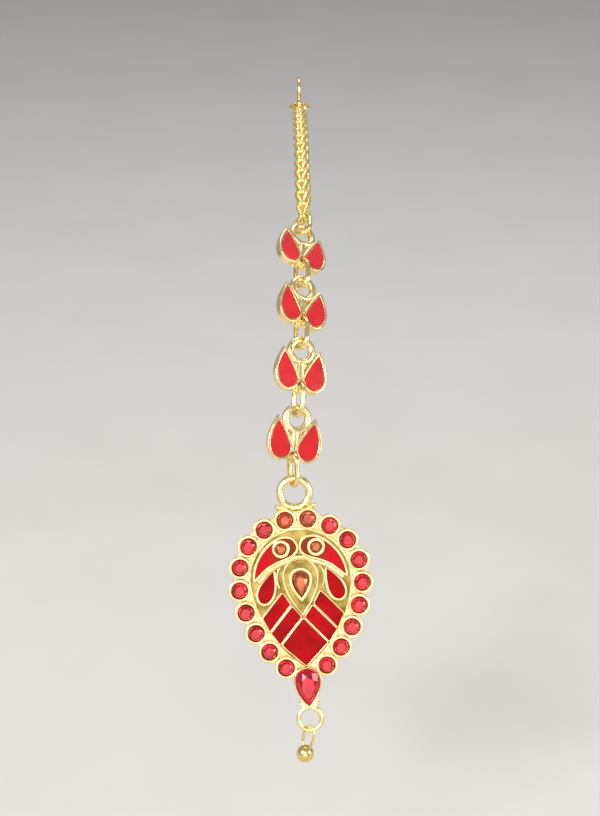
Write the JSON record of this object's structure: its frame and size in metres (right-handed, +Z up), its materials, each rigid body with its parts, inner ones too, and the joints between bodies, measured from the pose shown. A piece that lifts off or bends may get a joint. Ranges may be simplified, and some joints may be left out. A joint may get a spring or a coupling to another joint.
{
  "type": "maang tikka",
  "caption": "Hair jewel worn down the parting: a wire hook, a loop-in-loop chain, enamelled leaf links and a pear pendant of red stones with a bead drop.",
  "frame": {"origin": "middle of the hook's bend, where the hair holds the hook on the crown", "axes": "+Z up as worn, the front faces -Y, +X to the right of whoever looks at the front; the strand runs forward over the crown along -Y and down the brow along -Z"},
  "size_m": [0.0281, 0.1294, 0.1046],
  "materials": {
    "casting_gold": "pale bright gold plate on a cast zinc alloy, polished rims over soft cast faces",
    "link_gold": "polished gold plate on round brass wire",
    "chain_gold": "gold plate on fine brass wire, darker between the links",
    "bead_gold": "polished gold plate",
    "leaf_enamel": "glossy poured red enamel",
    "panel_enamel": "deep glossy poured red enamel",
    "red_glass": "cut red glass on foil",
    "amber_glass": "cut brown-red glass on foil"
  },
  "bodies": {
    "root": {"centre_stone": "amber_glass", "chain": "chain_gold", "chain_ring": "link_gold", "drop_bead": "bead_gold", "eye_stone_left": "amber_glass", "eye_stone_right": "amber_glass", "foot_stone": "red_glass", "hook": "link_gold", "hook_ring": "link_gold", "horn_enamel_left": "panel_enamel", "horn_enamel_right": "panel_enamel", "leaf_enamel_1_left": "leaf_enamel", "leaf_enamel_1_right": "leaf_enamel", "leaf_enamel_2_left": "leaf_enamel", "leaf_enamel_2_right": "leaf_enamel", "leaf_enamel_3_left": "leaf_enamel", "leaf_enamel_3_right": "leaf_enamel", "leaf_enamel_4_left": "leaf_enamel", "leaf_enamel_4_right": "leaf_enamel", "leaf_link_1": "casting_gold", "leaf_link_2": "casting_gold", "leaf_link_3": "casting_gold", "leaf_link_4": "casting_gold", "lozenge_inner_left": "panel_enamel", "lozenge_inner_right": "panel_enamel", "lozenge_middle": "panel_enamel", "lozenge_outer_left": "panel_enamel", "lozenge_outer_right": "panel_enamel", "oval_link_1": "link_gold", "oval_link_2": "link_gold", "oval_link_3": "link_gold", "oval_link_4": "link_gold", "pendant_frame": "casting_gold", "round_stone_01": "red_glass", "round_stone_02": "red_glass", "round_stone_03": "red_glass", "round_stone_04": "red_glass", "round_stone_05": "red_glass", "round_stone_06": "red_glass", "round_stone_07": "red_glass", "round_stone_08": "red_glass", "round_stone_09": "red_glass", "round_stone_10": "red_glass", "round_stone_11": "red_glass", "round_stone_12": "red_glass", "round_stone_13": "red_glass", "round_stone_14": "red_glass", "round_stone_15": "red_glass", "round_stone_16": "red_glass", "round_stone_17": "red_glass", "round_stone_18": "red_glass", "tear_enamel_left": "panel_enamel", "tear_enamel_right": "panel_enamel"}
  },
  "joints": []
}
